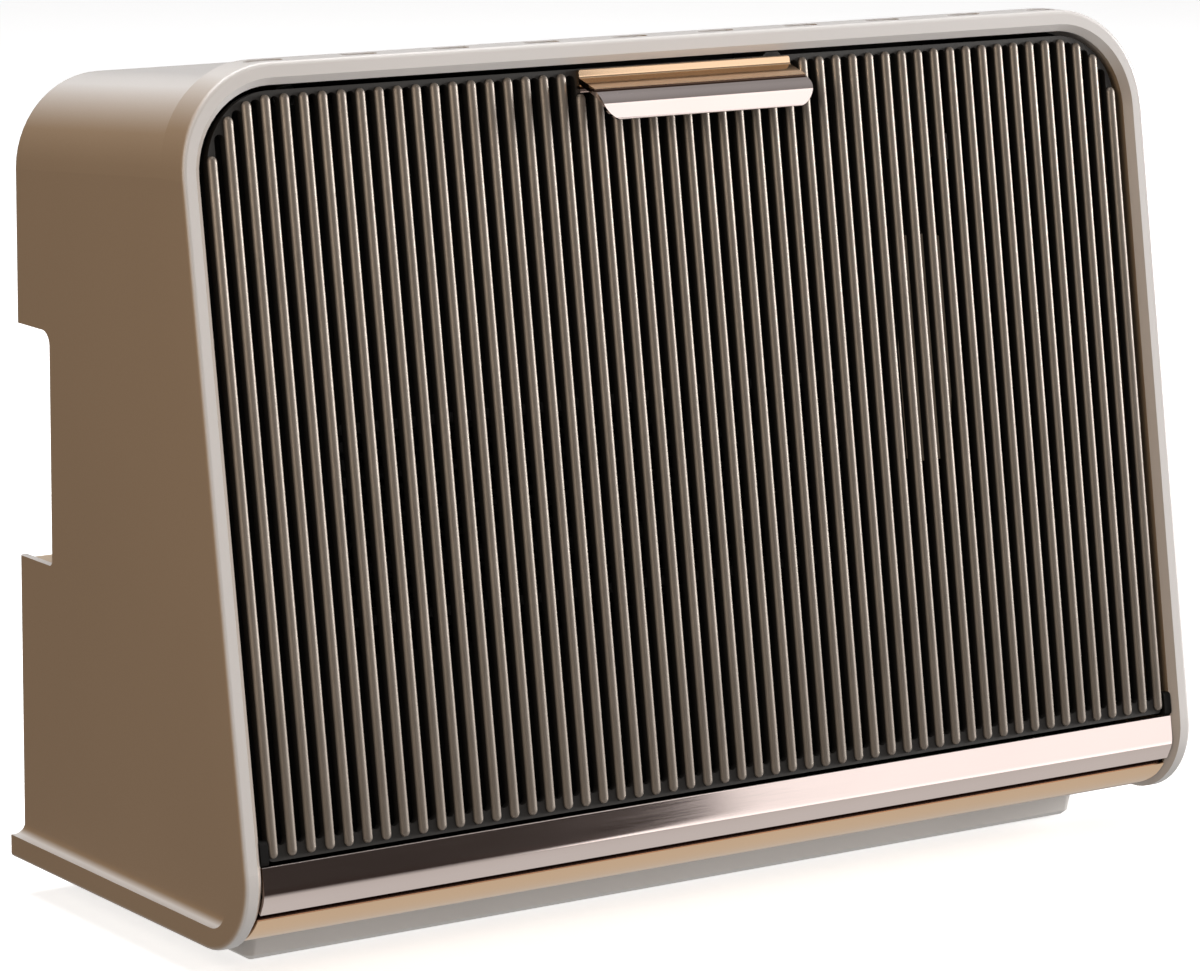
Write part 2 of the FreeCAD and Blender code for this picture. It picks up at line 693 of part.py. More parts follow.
def blower_wheel():
    """Cross-flow wheel: a cage of curved blades between discs, drawn about its own axis."""
    radius = size("wheel_radius")
    inner = radius - 8
    left, length = size("wheel_left"), size("wheel_length")
    body = new_body("wheel_body")
    bore = size("shaft_radius")
    add_pad(body, "YZ_Plane", left, 1.6, circle(0, 0, radius), circle(0, 0, bore))

    def polar(distance, angle):
        return Vector(distance * cos(radians(angle)), distance * sin(radians(angle)), 0)

    sketch = new_sketch(body, "YZ_Plane", left, [])
    near = [polar(inner, 0), polar(inner + 4.2, 3.5), polar(radius - 0.4, 13)]
    far = [polar(inner, 2.4), polar(inner + 4.2, 5.6), polar(radius - 0.4, 15)]
    sketch.addGeometry(Part.Arc(*near))
    sketch.addGeometry(Part.LineSegment(near[2], far[2]))
    sketch.addGeometry(Part.Arc(far[2], far[1], far[0]))
    sketch.addGeometry(Part.LineSegment(far[0], near[0]))
    blade = body.newObject("PartDesign::Pad", "blade")
    blade.Profile = sketch
    blade.Length = length
    doc.recompute()
    ring = body.newObject("PartDesign::PolarPattern", "blades")
    ring.Originals = [blade]
    axis = [item for item in body.Origin.OriginFeatures if item.Role == "X_Axis"][0]
    ring.Axis = (axis, [""])
    ring.Angle = 360
    bind(ring, "Occurrences", "sizes.blade_count")
    body.Tip = ring
    add_pad(body, "YZ_Plane", left + length / 2, 1.6, circle(0, 0, radius), circle(0, 0, inner - 2))
    add_pad(body, "YZ_Plane", left + length - 1.6, 1.6, circle(0, 0, radius), circle(0, 0, bore))
    place(body, "blower_wheel", at=(0, AXIS_Y, AXIS_Z))


def shafts():
    bore = size("shaft_radius")
    left = size("wheel_left")
    right = left + size("wheel_length")
    for label, start, end in (("motor_shaft", -182, left + 12), ("wheel_end_pin", right - 8, 88)):
        turned = plate(label + "_bar", "YZ_Plane", start, end - start, circle(0, 0, bore))
        place(turned, label, at=(0, AXIS_Y, AXIS_Z))
    bearing = plate("bush", "YZ_Plane", size("duct_right") - 1, 7, circle(0, 0, 8),
                    circle(0, 0, bore + size("running_gap")))
    place(bearing, "end_bearing", at=(0, AXIS_Y, AXIS_Z))


def motor_posts():
    return [(82, 158), (130, 158)]


def motor():
    """Shaded-pole motor: laminated core, coil on the lower limb, rotor and two bearing brackets."""
    bore = size("shaft_radius")
    core = plate("core", "YZ_Plane", -171, 16, rectangle(76, 92, 136, 166, 3), circle(AXIS_Y, AXIS_Z, 13.4),
                 rectangle(84, 100, 128, 119, 1))
    place(core, "motor_core")
    coil = plate("coil", "YZ_Plane", -176, 26, rectangle(88, 87, 124, 117, 3))
    limb = box("limb_gap", (-171.2, 80, 91.8), (-154.8, 130, 100.2))
    place(cut("coil_cut", coil, [limb]), "motor_coil")
    rotor = plate("rotor", "YZ_Plane", -172, 18, circle(0, 0, 13), circle(0, 0, bore))
    place(rotor, "motor_rotor", at=(0, AXIS_Y, AXIS_Z))
    bridges = [plate("bridge", "YZ_Plane", start, 1.6, rectangle(78, 128, 134, 163, 4),
                     circle(AXIS_Y, AXIS_Z, bore + size("running_gap"))) for start in (-176.2, -151.4)]
    legs = [plate("leg", "YZ_Plane", start, length, circle(y, z, 3)) for y, z in motor_posts()
            for start, length in ((-174.6, 3.6), (-155, 3.6))]
    place(group("brackets", bridges + legs), "motor_brackets")
    posts = [plate("post", "YZ_Plane", -149.8, 6.2, circle(y, z, 3)) for y, z in motor_posts()]
    place(group("posts", posts), "motor_mounts")


# ---------------------------------------------------------------- controls and wiring

SWITCH_Z = 88
INLET_Z = 42
KNOB_Z = 214
ROCKER_PIVOT_Y = COVER_BACK - 1.2
ROCKER_TILT = 8
ROCKER_AXLE = 1


def electrics():
    """Control board on stand-offs low in the right bay, with its larger components."""
    board_low = LINER_FLOOR + 6
    board = plate("board", "XY_Plane", board_low, 1.6, rectangle(104, 66, 184, 134, 2),
                  *[circle(x, y, 1.6) for x, y in board_corners()])
    place(board, "control_board")
    posts = [rod("standoff", (x, y, LINER_FLOOR), (0, 0, 1), 6, 3) for x, y in board_corners()]
    place(group("standoffs", posts), "board_standoffs")
    top = board_low + 1.6
    relays = [box("relay", (x, 72, top), (x + 19, 87, top + 15)) for x in (118, 144)]
    place(group("relays", relays), "board_relays")
    place(rod("capacitor", (158, 112, top), (0, 0, 1), 22, 7), "board_capacitor")
    block_base = box("block", (108, 28, LINER_FLOOR), (168, 46, LINER_FLOOR + 14))
    ways = [rod("way", (x, 37, LINER_FLOOR + 4), (0, 0, 1), 20, 2.2) for x in range(116, 165, 11)]
    place(cut("block_cut", block_base, ways), "terminal_block")
    place(box("tilt", (-180, 96, LINER_FLOOR), (-160, 118, LINER_FLOOR + 20)), "tip_over_switch")
    can = rod("can", (0, 62, 169.6), (0, 0, 1), 7, 8)
    ears = box("ears", (-12, 58, 169.6), (12, 66, 170.6))
    place(fuse("cutout", [can, ears]), "thermal_cutout")
    place(rod("fuse_body", (-44, 62, 171.8), (1, 0, 0), 14, 2.2), "thermal_fuse")


def board_corners():
    return [(x, y) for x in (108, 180) for y in (70, 130)]


def rear_cover():
    """Louvred back with a surround for the filter and openings for the controls."""
    half = OPENING - 0.4
    high = size("front_height") - size("rear_drop") - size("wall") - 0.2
    edge = [(-half, 3.4, 0), (half, 3.4, 0), (half, high, 28), (-half, high, 28)]
    columns = ((-144, -70), (-66, 8), (12, 80))
    louvres = [rectangle(left, low, right, low + 5.4, 2.6) for left, right in columns
               for low in range(62, 222, 11)]
    x = CONTROLS_X
    holes = [rectangle(x - 13.8, INLET_Z - 10.3, x + 13.8, INLET_Z + 10.3, 1),
             rectangle(x - 6.8, SWITCH_Z - 13.3, x + 6.8, SWITCH_Z + 13.3, 0.5), circle(x, KNOB_Z, 4.7)]
    holes += [circle(post[0], post[1], 1.7) for post in bosses()]
    body = plate("cover", "XZ_Plane", COVER_FRONT, "sizes.wall", edge, *louvres, *holes)
    add_pad(body, "XZ_Plane", COVER_BACK - 0.5, 5, filter_window(0, 8), filter_window(3, 6))
    low, high = size("grip_low") - 2.3, size("grip_high") + 2.3
    notches = [box("grip_gap", (min(side * 178.7, side * FAR), 100, low),
                   (max(side * 178.7, side * FAR), FAR, high)) for side in (-1, 1)]
    place(cut("cover_cut", body, notches), "rear_cover")


def filter_window(inset, radius):
    """Outline of the filter's surround, moved in by an inset."""
    return rectangle(-156 + inset, 46 + inset, 92 - inset, 236 - inset, radius)


def intake_filter():
    """Dust filter that pulls straight out of its surround at the back."""
    start = COVER_BACK + 0.9
    bars = [rectangle(x, low, x + 73, low + 80, 4) for x in (-146, -68.5, 9) for low in (57, 145)]
    frame = plate("frame", "XZ_Plane", start, "sizes.filter_thickness - 0.9", filter_window(3.6, 5.5),
                  *bars)
    add_pad(frame, "XZ_Plane", start, 4.6, rectangle(-54, 225.4, -10, 230.4, 2.4))
    place(frame, "filter_frame")
    place(plate("screen", "XZ_Plane", COVER_BACK + 0.3, 0.6, filter_window(6, 3)), "filter_mesh")


def power_switch():
    """Rocker on an axle whose ends turn in the side walls of the switch's case."""
    x, z = CONTROLS_X, SWITCH_Z
    case = rectangle(x - 6.5, z - 13, x + 6.5, z + 13, 0.5)
    inner = rectangle(x - 5.3, z - 11.4, x + 5.3, z + 11.4, 0.5)
    body = plate("switch_case", "XZ_Plane", COVER_FRONT - 14, 8, case)
    add_pad(body, "XZ_Plane", COVER_FRONT - 7, size("wall") + 7, case, inner)
    add_pad(body, "XZ_Plane", COVER_BACK, 1.2, rectangle(x - 8.5, z - 15, x + 8.5, z + 15, 2), inner)
    bore = rod("axle_bore", (x - 6.2, ROCKER_PIVOT_Y, z), (1, 0, 0), 12.4,
               ROCKER_AXLE + size("running_gap"))
    place(cut("switch_bored", body, [bore]), "power_switch_body")
    face = [(-2, -10.3, 0.5), (3.7, -10.3, 0.8), (2.4, 0, 6), (3.7, 10.3, 0.8), (-2, 10.3, 0.5)]
    rocker = plate("rocker", "YZ_Plane", x - 4.9, 9.8, face)
    axle = rod("rocker_axle", (x - 6.1, 0, 0), (1, 0, 0), 12.2, ROCKER_AXLE)
    place(fuse("rocker_with_axle", [rocker, axle]), "power_switch_rocker",
          at=(0, ROCKER_PIVOT_Y, z), tilt=-ROCKER_TILT)


def mains_inlet():
    """Three-pin appliance inlet, recessed in the rear cover."""
    x, z = CONTROLS_X, INLET_Z
    outer = rectangle(x - 13.5, z - 10, x + 13.5, z + 10, 1)
    mouth = [(x - 12, z - 8.2, 1), (x + 12, z - 8.2, 1), (x + 12, z + 4.5, 1), (x + 7.5, z + 8.2, 1),
             (x - 7.5, z + 8.2, 1), (x - 12, z + 4.5, 1)]
    body = plate("inlet", "XZ_Plane", COVER_FRONT - 15, 4, outer)
    add_pad(body, "XZ_Plane", COVER_FRONT - 12, COVER_BACK - COVER_FRONT + 12, outer, mouth)
    add_pad(body, "XZ_Plane", COVER_BACK, 1.6, rectangle(x - 16, z - 12, x + 16, z + 12, 3), mouth)
    place(body, "mains_inlet")
    pins = [box("pin", (px - 1, COVER_FRONT - 11, pz - 2.2), (px + 1, COVER_BACK - 2, pz + 2.2))
            for px, pz in ((x - 7, z - 2.5), (x + 7, z - 2.5), (x, z + 2.5))]
    place(group("inlet_pin_set", pins), "inlet_pins")


def thermostat():
    """Thermostat case behind the cover, its spindle, and the scalloped knob outside."""
    x, z = CONTROLS_X, KNOB_Z
    case = box("case", (x - 13, COVER_FRONT - 16, z - 13), (x + 13, COVER_FRONT - 0.2, z + 13))
    neck = rod("neck", (x, COVER_FRONT - 2, z), (0, 1, 0), size("wall") + 2.2, 4.5)
    bore = rod("bore", (x, COVER_FRONT - 10, z), (0, 1, 0), 30, 3 + size("running_gap"))
    place(cut("thermostat_case", fuse("case_neck", [case, neck]), [bore]), "thermostat_body")
    spindle = rod("spindle", (0, -9, 0), (0, 1, 0), 14.4, 3)
    place(spindle, "thermostat_spindle", at=(x, COVER_FRONT, z))
    knob = new_body("knob_body")
    add_pad(knob, "XZ_Plane", 0, 4.4, circle(0, 0, 17))
    grip = new_sketch(knob, "XZ_Plane", 0, [circle(0, 18.2, 2.2)])
    scallop = knob.newObject("PartDesign::Pocket", "scallop")
    scallop.Profile = grip
    scallop.Type = "ThroughAll"
    scallop.Midplane = True
    doc.recompute()
    ring = knob.newObject("PartDesign::PolarPattern", "scallops")
    ring.Originals = [scallop]
    axis = [item for item in knob.Origin.OriginFeatures if item.Role == "Y_Axis"][0]
    ring.Axis = (axis, [""])
    ring.Angle = 360
    ring.Occurrences = 20
    knob.Tip = ring
    pointer = box("pointer", (-1, 4, 5), (1, 4.9, 14.5))
    socket = rod("socket", (0, -1, 0), (0, 1, 0), 4.0, 3)
    bored = cut("knob_bored", fuse("knob_pointer", [knob, pointer]), [socket])
    place(bored, "thermostat_knob", at=(x, COVER_BACK + 0.6, z))


# ---------------------------------------------------------------- fasteners and feet

def screw(start, direction, length, head_radius, name):
    """Pan-head screw: the head's underside is at start and the shank runs along the direction."""
    shank = rod(name, start, direction, length, 1.45)
    behind = [value - 1.6 * step for value, step in zip(start, direction)]
    head = rod(name + "_head", behind, direction, 1.6, head_radius)
    return fuse(name + "_screw", [shank, head])


def fasteners():
    cover = [screw((post[0], COVER_BACK, post[1]), (0, -1, 0), 12, 3.2, "cover") for post in bosses()]
    place(group("cover_screw_set", cover), "cover_screws")
    low = 3 - size("plinth_height")
    base = [screw((x, y, low), (0, 0, 1), 11, 3.2, "base") for x, y in plinth_screws()]
    place(group("base_screw_set", base), "plinth_screws")
    pads = [rod("pad", (x, y, -BASE), (0, 0, 1), 2.9, 9) for x, y in pad_places()]
    place(group("pad_set", pads), "rubber_feet")


def build():
    casing()
    inner_liner()
    grip_pocket(-1, "grip_pocket_left")
    grip_pocket(1, "grip_pocket_right")
    plinth()
    front_grille()
    hinge()
    grille_handle()
    lower_trim()
    front_baffle()
    guard()
    heating_element()
    scroll_housing()
    blower_wheel()
    shafts()
    motor()
    electrics()
    rear_cover()
    intake_filter()
    power_switch()
    mains_inlet()
    thermostat()
    fasteners()


def export():
    doc.recompute()
    failed = [item.Label for item in doc.Objects if {"Invalid", "Error"} & set(item.State)]
    failed += [item.Label for item in parts if item.Shape.isNull() or not item.Shape.isValid()]
    if failed:
        raise RuntimeError("failed: " + ", ".join(failed))
    os.makedirs("parts", exist_ok=True)
    for item in parts:
        item.Shape.exportStep("parts/%s.step" % item.Label)


build()
export()
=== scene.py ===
import math

import bpy
from mathutils import Matrix, Vector


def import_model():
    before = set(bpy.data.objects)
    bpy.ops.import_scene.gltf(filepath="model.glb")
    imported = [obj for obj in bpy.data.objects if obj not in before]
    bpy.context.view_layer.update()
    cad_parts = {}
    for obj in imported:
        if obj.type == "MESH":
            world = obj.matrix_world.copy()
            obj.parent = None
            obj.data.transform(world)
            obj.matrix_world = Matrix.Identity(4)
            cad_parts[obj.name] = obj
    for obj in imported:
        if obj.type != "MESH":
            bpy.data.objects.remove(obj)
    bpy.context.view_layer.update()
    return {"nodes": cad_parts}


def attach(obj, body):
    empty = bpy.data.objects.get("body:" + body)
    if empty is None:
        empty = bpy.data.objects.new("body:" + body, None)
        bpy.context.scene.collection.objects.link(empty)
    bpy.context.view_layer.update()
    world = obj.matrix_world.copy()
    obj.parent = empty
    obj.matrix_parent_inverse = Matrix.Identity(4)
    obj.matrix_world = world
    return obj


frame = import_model()

LEAN = math.radians(9.4)
FRONT_DIRECTION = Vector((0, -math.cos(LEAN), math.sin(LEAN)))
UP_FRONT = Vector((0, math.sin(LEAN), math.cos(LEAN)))

# The sharp corner that the leaning front and the underside would make, in metres.
FRONT_CORNER = Vector((0, -0.08466, 0.0125))


def on_front(across, height, depth):
    """Point of the row frame, from millimetres across, up the leaning front and behind it."""
    return FRONT_CORNER + (Vector((across, 0, 0)) + UP_FRONT * height - FRONT_DIRECTION * depth) / 1000


# ---------------------------------------------------------------- materials

class Nodes:
    """Short way to add and join shader nodes in one material or world."""

    def __init__(self, material):
        material.use_nodes = True
        self.tree = material.node_tree
        self.tree.nodes.clear()

    def add(self, kind, inputs=None, **settings):
        """New node; an input given as a socket is linked, and any other is set."""
        node = self.tree.nodes.new(kind)
        for name, value in settings.items():
            setattr(node, name, value)
        for name, value in (inputs or {}).items():
            if isinstance(value, bpy.types.NodeSocket):
                self.tree.links.new(value, node.inputs[name])
            else:
                node.inputs[name].default_value = value
        return node

    def noise(self, where, scale, detail=4, roughness=0.55):
        """Noise value at each place."""
        return self.add("ShaderNodeTexNoise", {"Vector": where, "Scale": scale, "Detail": detail,
                                               "Roughness": roughness}).outputs["Fac"]

    def span(self, value, low, high, start=0.3, end=0.7):
        """Value moved from start and end to low and high, and held at those limits."""
        return self.add("ShaderNodeMapRange", {"Value": value, "From Min": start, "From Max": end,
                                               "To Min": low, "To Max": high}).outputs["Result"]

    def shades(self, value, colours, places=None, blending="LINEAR"):
        """Colour that follows a value through the colours given."""
        ramp = self.add("ShaderNodeValToRGB", {"Fac": value})
        band = ramp.color_ramp
        band.interpolation = blending
        places = places or [0.3 + 0.4 * index / (len(colours) - 1) for index in range(len(colours))]
        while len(band.elements) < len(colours):
            band.elements.new(0.5)
        for element, place, colour in zip(band.elements, places, colours):
            element.position = place
            element.color = (*colour, 1)
        return ramp.outputs["Color"]

    def times(self, first, second):
        """Product of two colours."""
        product = self.add("ShaderNodeMix", data_type="RGBA", blend_type="MULTIPLY")
        product.inputs["Factor"].default_value = 1
        self.tree.links.new(first, product.inputs["A"])
        self.tree.links.new(second, product.inputs["B"])
        return product.outputs["Result"]


def tinted(colour, share):
    """Colour made darker or lighter, with no part above 1."""
    return tuple(min(1, part * share) for part in colour)


def surface(name, colour, rough=0.5, metal=0.0, grain=900, bump=0.05, vary=0.06, spread=0.08,
            stretch=(1, 1, 1), coat=0.0, specular=0.5, patch=14, shine=0.0):
    """Painted, moulded or metal surface: mottled colour, uneven gloss, fine grain, any light of its own."""
    material = bpy.data.materials.new(name)
    nodes = Nodes(material)
    place = nodes.add("ShaderNodeTexCoord").outputs["Object"]
    along = nodes.add("ShaderNodeMapping", {"Vector": place, "Scale": stretch}).outputs["Vector"]
    mottle = nodes.noise(place, patch, 3)
    fine = nodes.noise(along, grain, 5, 0.6)
    base = nodes.shades(mottle, [tinted(colour, 1 - vary), colour, tinted(colour, 1 + vary)])
    gloss = nodes.span(fine, rough - spread, rough + spread)
    relief = nodes.add("ShaderNodeBump", {"Height": fine, "Strength": bump, "Distance": 0.0002})
    shader = nodes.add("ShaderNodeBsdfPrincipled", {
        "Base Color": base, "Roughness": gloss, "Metallic": metal, "Normal": relief.outputs["Normal"],
        "Coat Weight": coat, "Coat Roughness": 0.1, "Specular IOR Level": specular,
        "Emission Color": (*colour, 1), "Emission Strength": shine})
    nodes.add("ShaderNodeOutputMaterial", {"Surface": shader.outputs["BSDF"]})
    return material


def woven(name, colour):
    """Dust screen: two sets of crossing threads."""
    material = bpy.data.materials.new(name)
    nodes = Nodes(material)
    place = nodes.add("ShaderNodeTexCoord").outputs["Object"]
    threads = []
    for direction in ("X", "Z"):
        wave = nodes.add("ShaderNodeTexWave", {"Vector": place, "Scale": 220, "Distortion": 0.4,
                                               "Detail": 1}, bands_direction=direction)
        threads.append(wave.outputs["Fac"])
    cross = nodes.add("ShaderNodeMath", {0: threads[0], 1: threads[1]}, operation="MAXIMUM").outputs[0]
    # Darker between the threads and paler on their tops: painted shade in the gaps and a painted highlight on
    # the threads.
    base = nodes.shades(cross, [tinted(colour, 0.25), colour, tinted(colour, 1.5)], [0.3, 0.7, 1])
    relief = nodes.add("ShaderNodeBump", {"Height": cross, "Strength": 0.5, "Distance": 0.0003})
    shader = nodes.add("ShaderNodeBsdfPrincipled", {"Base Color": base, "Roughness": 0.85,
                                                    "Normal": relief.outputs["Normal"]})
    nodes.add("ShaderNodeOutputMaterial", {"Surface": shader.outputs["BSDF"]})
    return material


def banded_metal(name, tones, edges, low, high):
    """Polished metal in level bands, lowest first; edges are the heights between them, in metres."""
    material = bpy.data.materials.new(name)
    nodes = Nodes(material)
    place = nodes.add("ShaderNodeTexCoord").outputs["Object"]
    height = nodes.add("ShaderNodeSeparateXYZ", {"Vector": place}).outputs["Z"]
    band = nodes.span(height, 0, 1, low, high)
    drawn = nodes.add("ShaderNodeMapping", {"Vector": place, "Scale": (0.02, 1, 1)}).outputs["Vector"]
    fine = nodes.noise(drawn, 1600, 3)
    cloud = nodes.noise(place, 9, 3)
    starts = [0] + [(edge - low) / (high - low) for edge in edges]
    tone = nodes.shades(band, tones, starts, "CONSTANT")
    shade = nodes.shades(cloud, [(0.95, 0.95, 0.95), (1, 1, 1)])
    relief = nodes.add("ShaderNodeBump", {"Height": fine, "Strength": 0.015, "Distance": 0.0001})
    shader = nodes.add("ShaderNodeBsdfPrincipled", {
        "Base Color": nodes.times(tone, shade), "Metallic": 1.0, "Normal": relief.outputs["Normal"],
        "Roughness": nodes.span(fine, 0.07, 0.1)})
    nodes.add("ShaderNodeOutputMaterial", {"Surface": shader.outputs["BSDF"]})
    return material


def casing_paint_with_painted_side_shade(name, rim, side_painted_shade):
    """Satin paint with fine grain and a clear coat, pale on the rim and top; the side walls are coloured
    darker brown as painted shade, blended in by how far each face turns sideways.
    """
    material = bpy.data.materials.new(name)
    nodes = Nodes(material)
    coords = nodes.add("ShaderNodeTexCoord")
    place = coords.outputs["Object"]
    # Painted shade: the more a face turns sideways, the nearer its colour goes to the dark side colour.
    sideways = nodes.add("ShaderNodeSeparateXYZ", {"Vector": coords.outputs["Normal"]}).outputs["X"]
    turned = nodes.add("ShaderNodeMath", {0: sideways}, operation="ABSOLUTE").outputs[0]
    side_shade_share = nodes.span(turned, 0, 1, 0.45, 0.9)
    mottle = nodes.noise(place, 7, 3)
    fine = nodes.noise(place, 1500, 5, 0.6)
    base = nodes.shades(side_shade_share, [rim, side_painted_shade], [0, 1])
    shade = nodes.shades(mottle, [(0.95, 0.95, 0.95), (1, 1, 1)])
    relief = nodes.add("ShaderNodeBump", {"Height": fine, "Strength": 0.05, "Distance": 0.0002})
    shader = nodes.add("ShaderNodeBsdfPrincipled", {
        "Base Color": nodes.times(base, shade), "Normal": relief.outputs["Normal"],
        "Roughness": nodes.span(fine, 0.3, 0.44), "Coat Weight": 0.25, "Coat Roughness": 0.22})
    nodes.add("ShaderNodeOutputMaterial", {"Surface": shader.outputs["BSDF"]})
    return material


ROSE = (0.92, 0.8, 0.76)
GOLD = (0.93, 0.66, 0.43)
# Near-black band in the polished strip and the handle: painted shade in the strip's groove and along the
# handle's crease.
PAINTED_SHADE_BAND = (0.09, 0.055, 0.04)
FINISHES = {
    # Casing: pale rim and top colour, and a dark brown painted shade for the side walls.
    "casing": casing_paint_with_painted_side_shade("casing_paint_with_painted_side_shade", (0.72, 0.695, 0.68), (0.34, 0.24, 0.155)),
    "plinth_plastic": surface("plinth_paint", (0.7, 0.68, 0.66), 0.4, grain=1300, bump=0.05, vary=0.03),
    # Grille plate coloured nearly black: painted shade for the dark gaps between the reeds.
    "grille_metal": surface("grille_plate_painted_shade", (0.02, 0.018, 0.016), 0.6, 0.3, grain=1400, bump=0.08, vary=0.08),
    # Polished strip: gold below, pale rose above, with a band of painted shade between them for its groove.
    "rose_gold": banded_metal("rose_gold_polish", [GOLD, PAINTED_SHADE_BAND, ROSE], [0.0257, 0.0277], 0, 0.05),
    # Black heat paint, made darker than real paint so the inside reads as deep shade between the reeds: real
    # black paint deepened by painted shade.
    "black_steel": surface("black_heat_paint_deepened_as_shade", (0.006, 0.0055, 0.005), 0.75, grain=700, bump=0.1, vary=0.2,
                           specular=0.15),
    "black_plastic": surface("black_moulding", (0.022, 0.02, 0.019), 0.5, grain=1100, bump=0.12, vary=0.15),
    "steel": surface("zinc_plate", (0.6, 0.6, 0.6), 0.32, 1.0, grain=600, bump=0.06, vary=0.08,
                     stretch=(0.1, 1, 1)),
    "lamination": surface("stacked_sheet", (0.16, 0.16, 0.17), 0.5, 0.8, grain=2400, bump=0.3, vary=0.12,
                          stretch=(1, 0.02, 0.02)),
    "copper": surface("enamelled_wire", (0.62, 0.24, 0.1), 0.28, 0.9, grain=1500, bump=0.5, vary=0.12,
                      stretch=(1, 0.03, 0.03), coat=0.6),
    "ceramic": surface("dense_ceramic", (0.2, 0.185, 0.175), 0.7, grain=800, bump=0.2, vary=0.15),
    "aluminium": surface("mill_aluminium", (0.74, 0.74, 0.75), 0.38, 1.0, grain=900, bump=0.08, vary=0.06,
                         stretch=(0.05, 1, 1)),
    # Black anodised aluminium inside the casing, made black so it shows as dark shade between the reeds: a
    # real finish used as painted shade.
    "black_aluminium": surface("anodised_black_deepened_as_shade", (0.012, 0.012, 0.013), 0.55, 0.4, grain=900, bump=0.08,
                               vary=0.1, stretch=(0.05, 1, 1)),
    "brass": surface("bright_brass", (0.8, 0.6, 0.27), 0.28, 1.0, grain=700, bump=0.05, vary=0.08),
    "board_green": surface("solder_mask", (0.008, 0.045, 0.022), 0.45, grain=500, bump=0.1, vary=0.15,
                           coat=0.4),
    "relay_black": surface("relay_case", (0.015, 0.015, 0.017), 0.4, grain=900, bump=0.06, vary=0.06),
    "nylon": surface("natural_nylon", (0.72, 0.69, 0.61), 0.45, grain=800, bump=0.06, vary=0.05),
    "filter_cloth": woven("filter_weave", (0.1, 0.1, 0.1)),
    "rubber": surface("matte_rubber", (0.02, 0.02, 0.02), 0.8, grain=900, bump=0.2, vary=0.15),
}

# Nodes that look different from the rest of their slot.
OWN_FINISHES = {
    # Handle: pale rose lip below, gold flange above, with a thin line of painted shade along the crease
    # between them.
    "grille_handle": banded_metal("handle_polish", [ROSE, PAINTED_SHADE_BAND, GOLD], [0.2832, 0.2842], 0.27, 0.295),
    # The grip pockets are a darker beige than the rim and give a faint light of their own: painted shade in
    # their colour and painted light in their glow, so they show between the reeds.
    "grip_pocket_left": surface("pocket_left_glowing_plastic", (0.46, 0.37, 0.28), shine=0.12),
    "grip_pocket_right": surface("pocket_right_glowing_plastic", (0.46, 0.37, 0.28), shine=0.12),
}


def dress_cad():
    """Give every carried-over node its own finish, or else the finish of its slot."""
    for name, node in frame["nodes"].items():
        for slot in node.material_slots:
            slot.material = OWN_FINISHES.get(name) or FINISHES[slot.material.name.split(".")[0]]


# ---------------------------------------------------------------- front panel's reeds

# Lengths are in millimetres, as on_front takes them.
REED_COUNT = 53
REED_PITCH = 7.2
REED_HALF = 1.75
REED_BASE = 2.9
REED_CREST = 1.35
REED_LOW = 34.6
PANEL_TOP = 281.6
PANEL_CORNER = 25
PANEL_HALF = 189.0
HANDLE_HALF = 44.0
FLANGE_DROP = 8.3
ARC_STEPS = 10
END_STEPS = 5
END_LENGTH = 1.1 * REED_HALF

REED_METAL = surface("reed_satin", (0.25, 0.216, 0.184), 0.46, 0.55, grain=1100, bump=0.05, vary=0.07,
                     spread=0.05, stretch=(1, 1, 0.35), patch=40)


def reed_top(across):
    """Height where a reed ends, inside the panel's rounded corners and under the handle's flange."""
    past = abs(across) - (PANEL_HALF - PANEL_CORNER)
    if abs(across) < HANDLE_HALF + REED_HALF:
        return PANEL_TOP - FLANGE_DROP
    if past <= 0:
        return PANEL_TOP - 1.2
    inner = PANEL_CORNER - 1.2
    return PANEL_TOP - PANEL_CORNER + math.sqrt(inner ** 2 - min(past, inner) ** 2)


def reed_rings(across, low, high):
    """Cross-sections up one reed, narrowing to a rounded end at both ends."""
    rings = []
    stations = []
    for step in range(1, END_STEPS + 1):
        angle = math.pi / 2 * step / END_STEPS
        stations.append((low + END_LENGTH * (1 - math.cos(angle)), math.sin(angle)))
    straight = high - low - 2 * END_LENGTH
    middle = [(low + END_LENGTH + straight * share, 1.0) for share in (0.25, 0.5, 0.75)]
    closing = [(high - (station - low), share) for station, share in reversed(stations)]
    for height, share in stations + middle + closing:
        ring = []
        for step in range(ARC_STEPS + 1):
            angle = math.pi * step / ARC_STEPS
            sideways = -math.cos(angle) * REED_HALF * share
            depth = REED_BASE - math.sin(angle) * (REED_BASE - REED_CREST) * share
            ring.append(on_front(across + sideways, height, depth))
        rings.append(ring)
    return rings


def make_mesh(name, points, faces, material, body):
    """Smooth-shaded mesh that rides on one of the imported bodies."""
    mesh = bpy.data.meshes.new(name)
    mesh.from_pydata(points, [], faces)
    mesh.validate()
    mesh.update()
    for polygon in mesh.polygons:
        polygon.use_smooth = True
    mesh.materials.append(material)
    piece = bpy.data.objects.new(name, mesh)
    bpy.context.scene.collection.objects.link(piece)
    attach(piece, body)
    return piece


def reeds():
    """Rounded reeds over the panel's flat bars, each a closed form whose back is 0.1 mm clear of the bar."""
    points = []
    faces = []
    count = ARC_STEPS + 1
    for index in range(REED_COUNT):
        across = (index - (REED_COUNT - 1) / 2) * REED_PITCH
        rings = reed_rings(across, REED_LOW, reed_top(across))
        first = len(points)
        for ring in rings:
            points += [tuple(point) for point in ring]
        for row in range(len(rings) - 1):
            corner = first + row * count
            for step in range(count - 1):
                near = corner + step
                faces.append((near, near + 1, near + count + 1, near + count))
            faces.append((corner + count - 1, corner, corner + count, corner + 2 * count - 1))
        faces.append(tuple(first + step for step in reversed(range(count))))
        last = first + (len(rings) - 1) * count
        faces.append(tuple(last + step for step in range(count)))
    piece = make_mesh("grille_reeds", points, faces, REED_METAL, "grille")


# ---------------------------------------------------------------- stage, light and camera

